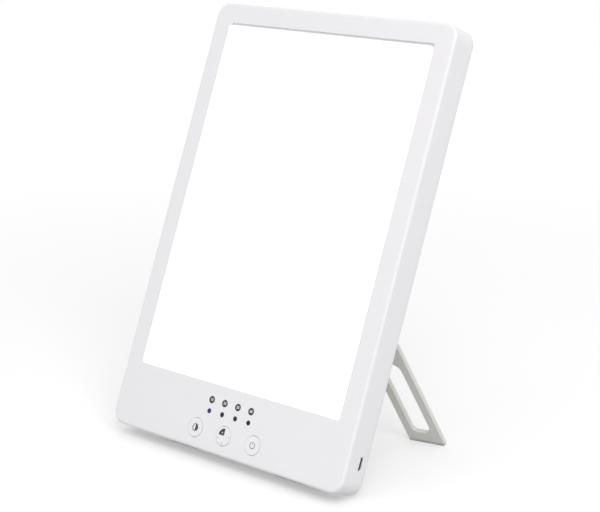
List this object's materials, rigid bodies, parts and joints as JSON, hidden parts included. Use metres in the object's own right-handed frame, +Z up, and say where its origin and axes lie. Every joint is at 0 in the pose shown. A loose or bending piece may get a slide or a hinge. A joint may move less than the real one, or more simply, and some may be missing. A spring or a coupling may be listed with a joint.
{
  "type": "light therapy lamp",
  "caption": "Thin edge-lit light panel with a control band, press keys and timer lights, leaning on two fold-out splayed loop legs.",
  "frame": {"origin": "on the surface that the lamp stands on, below the centre of its box", "axes": "+Z up, +X to the right of someone facing the light, +Y from the front to the back"},
  "size_m": [0.214, 0.139, 0.2945],
  "materials": {
    "housing_white": "fine satin white moulded plastic",
    "diffuser": "opal diffuser, lit from behind",
    "acrylic": "clear acrylic light guide",
    "reflector": "white reflector film",
    "chassis_metal": "folded sheet",
    "led_board": "white solder mask",
    "led": "phosphor",
    "screw_steel": "zinc plated",
    "circuit_board": "green solder mask",
    "black_plastic": "black moulding",
    "lens_dark": "dark smoked lens",
    "socket_steel": "stamped steel shell",
    "connector_plastic": "nylon",
    "can_aluminium": "aluminium can",
    "key_white": "fine satin white moulded plastic",
    "foot_rubber": "light grey rubber",
    "pin_steel": "ground steel",
    "leg_grey": "warm grey moulded plastic",
    "pad_rubber": "grey rubber"
  },
  "bodies": {
    "panel": {"front_housing": "housing_white", "diffuser_panel": "diffuser", "light_guide": "acrylic", "reflector_sheet": "reflector", "chassis_plate": "chassis_metal", "led_bar_left": "led_board", "led_bar_right": "led_board", "leds_left": "led", "leds_right": "led", "chassis_screws": "screw_steel", "control_board": "circuit_board", "key_switches": "black_plastic", "timer_leds": "led", "timer_lenses": "lens_dark", "usb_c_socket": "socket_steel", "led_connectors": "connector_plastic", "power_inductor": "black_plastic", "filter_capacitors": "can_aluminium", "controller_chip": "black_plastic", "board_screws": "screw_steel", "rear_cover": "housing_white", "case_screws": "screw_steel", "rubber_feet": "foot_rubber", "left_hinge_pin": "pin_steel", "right_hinge_pin": "pin_steel"},
    "left_leg": {"left_leg": "leg_grey", "left_leg_pad": "pad_rubber"},
    "right_leg": {"right_leg": "leg_grey", "right_leg_pad": "pad_rubber"},
    "brightness_key": {"brightness_key": "key_white"},
    "timer_key": {"timer_key": "key_white"},
    "power_key": {"power_key": "key_white"}
  },
  "joints": [
    {"name": "left_leg_fold", "type": "hinge", "parent": "panel", "child": "left_leg", "pos_m": [-0.0486, 0.00193, 0.13163], "axis": [0.9613, -0.1064, -0.2543], "range_deg": [-45, 0]},
    {"name": "right_leg_fold", "type": "hinge", "parent": "panel", "child": "right_leg", "pos_m": [0.0486, 0.00193, 0.13163], "axis": [0.9613, 0.1064, 0.2543], "range_deg": [-45, 0]},
    {"name": "brightness_press", "type": "slide", "parent": "panel", "child": "brightness_key", "axis": [0, 0.9225, -0.3859], "range_m": [0, 0.0005], "stiffness_N_per_m": 400},
    {"name": "timer_press", "type": "slide", "parent": "panel", "child": "timer_key", "axis": [0, 0.9225, -0.3859], "range_m": [0, 0.0005], "stiffness_N_per_m": 400},
    {"name": "power_press", "type": "slide", "parent": "panel", "child": "power_key", "axis": [0, 0.9225, -0.3859], "range_m": [0, 0.0005], "stiffness_N_per_m": 400}
  ]
}
